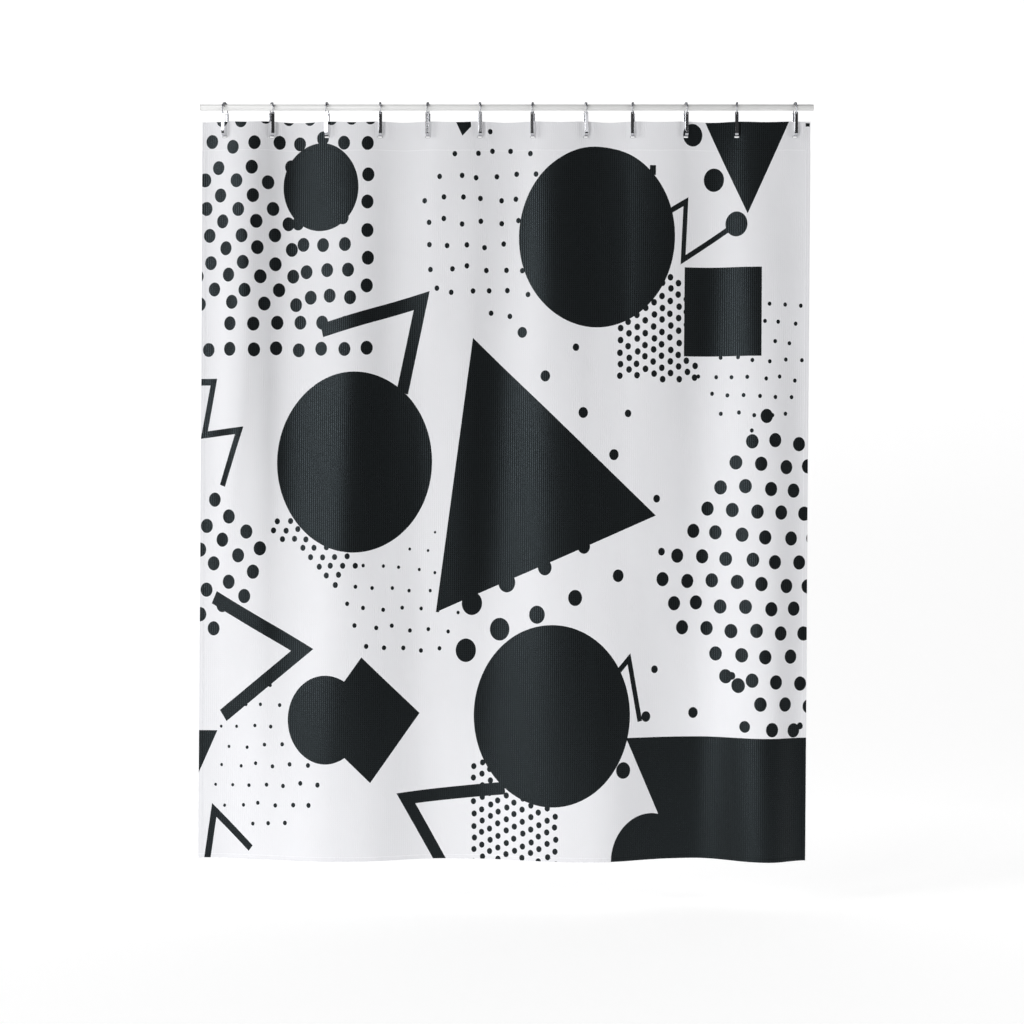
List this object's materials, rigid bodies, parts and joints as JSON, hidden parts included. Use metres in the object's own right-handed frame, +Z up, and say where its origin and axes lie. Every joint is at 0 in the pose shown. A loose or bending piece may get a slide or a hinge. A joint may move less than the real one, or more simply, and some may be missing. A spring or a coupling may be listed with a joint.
{
  "type": "shower curtain",
  "caption": "Printed shower curtain hanging from roller rings on a round rod. Rings slide along the rod to draw the cloth aside; cloth and rings swing about the rod.",
  "frame": {"origin": "on the rod's axis, halfway along the rod", "axes": "+X along the rod to the right seen from the front, the printed front faces -Y, +Z up"},
  "size_m": [1.5725, 0.0852, 1.9303],
  "materials": {
    "rod": "white paint, satin",
    "plug": "moulded, white",
    "wire": "chromed spring wire",
    "roller": "chromed ball",
    "strip": "chromed flat strip",
    "printed_cloth": "woven polyester, black geometric print on white",
    "plain_cloth": "woven polyester, white"
  },
  "bodies": {
    "rod": {"rod_tube": "rod", "rod_plug_left": "plug", "rod_plug_right": "plug"},
    "curtain": {"curtain_panel": "printed_cloth", "header_band": "plain_cloth", "bottom_hem": "plain_cloth", "side_hem_left": "plain_cloth", "side_hem_right": "plain_cloth", "ring_bow_01": "wire", "strip_clip_01": "strip"},
    "roller_01": {"top_roller_01": "roller"},
    "ring_02": {"ring_bow_02": "wire", "strip_clip_02": "strip"},
    "roller_02": {"top_roller_02": "roller"},
    "ring_03": {"ring_bow_03": "wire", "strip_clip_03": "strip"},
    "roller_03": {"top_roller_03": "roller"},
    "ring_04": {"ring_bow_04": "wire", "strip_clip_04": "strip"},
    "roller_04": {"top_roller_04": "roller"},
    "ring_05": {"ring_bow_05": "wire", "strip_clip_05": "strip"},
    "roller_05": {"top_roller_05": "roller"},
    "ring_06": {"ring_bow_06": "wire", "strip_clip_06": "strip"},
    "roller_06": {"top_roller_06": "roller"},
    "ring_07": {"ring_bow_07": "wire", "strip_clip_07": "strip"},
    "roller_07": {"top_roller_07": "roller"},
    "ring_08": {"ring_bow_08": "wire", "strip_clip_08": "strip"},
    "roller_08": {"top_roller_08": "roller"},
    "ring_09": {"ring_bow_09": "wire", "strip_clip_09": "strip"},
    "roller_09": {"top_roller_09": "roller"},
    "ring_10": {"ring_bow_10": "wire", "strip_clip_10": "strip"},
    "roller_10": {"top_roller_10": "roller"},
    "ring_11": {"ring_bow_11": "wire", "strip_clip_11": "strip"},
    "roller_11": {"top_roller_11": "roller"},
    "ring_12": {"ring_bow_12": "wire", "strip_clip_12": "strip"},
    "roller_12": {"top_roller_12": "roller"}
  },
  "joints": [
    {"name": "curtain_swing", "type": "hinge", "parent": "rod", "child": "curtain", "pos_m": [0, 0, 0], "axis": [1, 0, 0], "range_deg": [-20, 20]},
    {"name": "curtain_draw", "type": "slide", "parent": "curtain", "child": "ring_12", "axis": [-1, 0, 0], "range_m": [0, 1.1616], "deforming": ["curtain_panel", "header_band", "bottom_hem", "side_hem_left", "side_hem_right"]},
    {"name": "ring_02_slide", "type": "slide", "parent": "curtain", "child": "ring_02", "axis": [-1, 0, 0], "range_m": [0, 0.0953]},
    {"name": "ring_03_slide", "type": "slide", "parent": "curtain", "child": "ring_03", "axis": [-1, 0, 0], "range_m": [0, 0.2081]},
    {"name": "ring_04_slide", "type": "slide", "parent": "curtain", "child": "ring_04", "axis": [-1, 0, 0], "range_m": [0, 0.3161]},
    {"name": "ring_05_slide", "type": "slide", "parent": "curtain", "child": "ring_05", "axis": [-1, 0, 0], "range_m": [0, 0.4137]},
    {"name": "ring_06_slide", "type": "slide", "parent": "curtain", "child": "ring_06", "axis": [-1, 0, 0], "range_m": [0, 0.5193]},
    {"name": "ring_07_slide", "type": "slide", "parent": "curtain", "child": "ring_07", "axis": [-1, 0, 0], "range_m": [0, 0.6273]},
    {"name": "ring_08_slide", "type": "slide", "parent": "curtain", "child": "ring_08", "axis": [-1, 0, 0], "range_m": [0, 0.7353]},
    {"name": "ring_09_slide", "type": "slide", "parent": "curtain", "child": "ring_09", "axis": [-1, 0, 0], "range_m": [0, 0.8313]},
    {"name": "ring_10_slide", "type": "slide", "parent": "curtain", "child": "ring_10", "axis": [-1, 0, 0], "range_m": [0, 0.9393]},
    {"name": "ring_11_slide", "type": "slide", "parent": "curtain", "child": "ring_11", "axis": [-1, 0, 0], "range_m": [0, 1.0433]},
    {"name": "roller_01_spin", "type": "hinge", "parent": "curtain", "child": "roller_01", "pos_m": [-0.71795, 0, 0.0113], "axis": [0.3746, 0.9272, 0], "continuous": true},
    {"name": "roller_02_spin", "type": "hinge", "parent": "ring_02", "child": "roller_02", "pos_m": [-0.59895, 0, 0.0113], "axis": [-0.3746, 0.9272, 0], "continuous": true},
    {"name": "roller_03_spin", "type": "hinge", "parent": "ring_03", "child": "roller_03", "pos_m": [-0.45795, 0, 0.0113], "axis": [0.1564, 0.9877, 0], "continuous": true},
    {"name": "roller_04_spin", "type": "hinge", "parent": "ring_04", "child": "roller_04", "pos_m": [-0.32295, 0, 0.0113], "axis": [-0.1564, 0.9877, 0], "continuous": true},
    {"name": "roller_05_spin", "type": "hinge", "parent": "ring_05", "child": "roller_05", "pos_m": [-0.20095, 0, 0.0113], "axis": [0.1564, 0.9877, 0], "continuous": true},
    {"name": "roller_06_spin", "type": "hinge", "parent": "ring_06", "child": "roller_06", "pos_m": [-0.06895, 0, 0.0113], "axis": [-0.1564, 0.9877, 0], "continuous": true},
    {"name": "roller_07_spin", "type": "hinge", "parent": "ring_07", "child": "roller_07", "pos_m": [0.06605, 0, 0.0113], "axis": [0.1564, 0.9877, 0], "continuous": true},
    {"name": "roller_08_spin", "type": "hinge", "parent": "ring_08", "child": "roller_08", "pos_m": [0.20105, 0, 0.0113], "axis": [-0.1564, 0.9877, 0], "continuous": true},
    {"name": "roller_09_spin", "type": "hinge", "parent": "ring_09", "child": "roller_09", "pos_m": [0.32105, 0, 0.0113], "axis": [0.1564, 0.9877, 0], "continuous": true},
    {"name": "roller_10_spin", "type": "hinge", "parent": "ring_10", "child": "roller_10", "pos_m": [0.45605, 0, 0.0113], "axis": [-0.1564, 0.9877, 0], "continuous": true},
    {"name": "roller_11_spin", "type": "hinge", "parent": "ring_11", "child": "roller_11", "pos_m": [0.58605, 0, 0.0113], "axis": [0.1564, 0.9877, 0], "continuous": true},
    {"name": "roller_12_spin", "type": "hinge", "parent": "ring_12", "child": "roller_12", "pos_m": [0.73405, 0, 0.0113], "axis": [-0.1564, 0.9877, 0], "continuous": true}
  ],
  "couplings": [
    {"joint": "ring_02_slide", "follows": "curtain_draw", "ratio": 0.08196},
    {"joint": "ring_03_slide", "follows": "curtain_draw", "ratio": 0.17906},
    {"joint": "ring_04_slide", "follows": "curtain_draw", "ratio": 0.27204},
    {"joint": "ring_05_slide", "follows": "curtain_draw", "ratio": 0.35606},
    {"joint": "ring_06_slide", "follows": "curtain_draw", "ratio": 0.44697},
    {"joint": "ring_07_slide", "follows": "curtain_draw", "ratio": 0.53994},
    {"joint": "ring_08_slide", "follows": "curtain_draw", "ratio": 0.63292},
    {"joint": "ring_09_slide", "follows": "curtain_draw", "ratio": 0.71556},
    {"joint": "ring_10_slide", "follows": "curtain_draw", "ratio": 0.80854},
    {"joint": "ring_11_slide", "follows": "curtain_draw", "ratio": 0.89807}
  ]
}
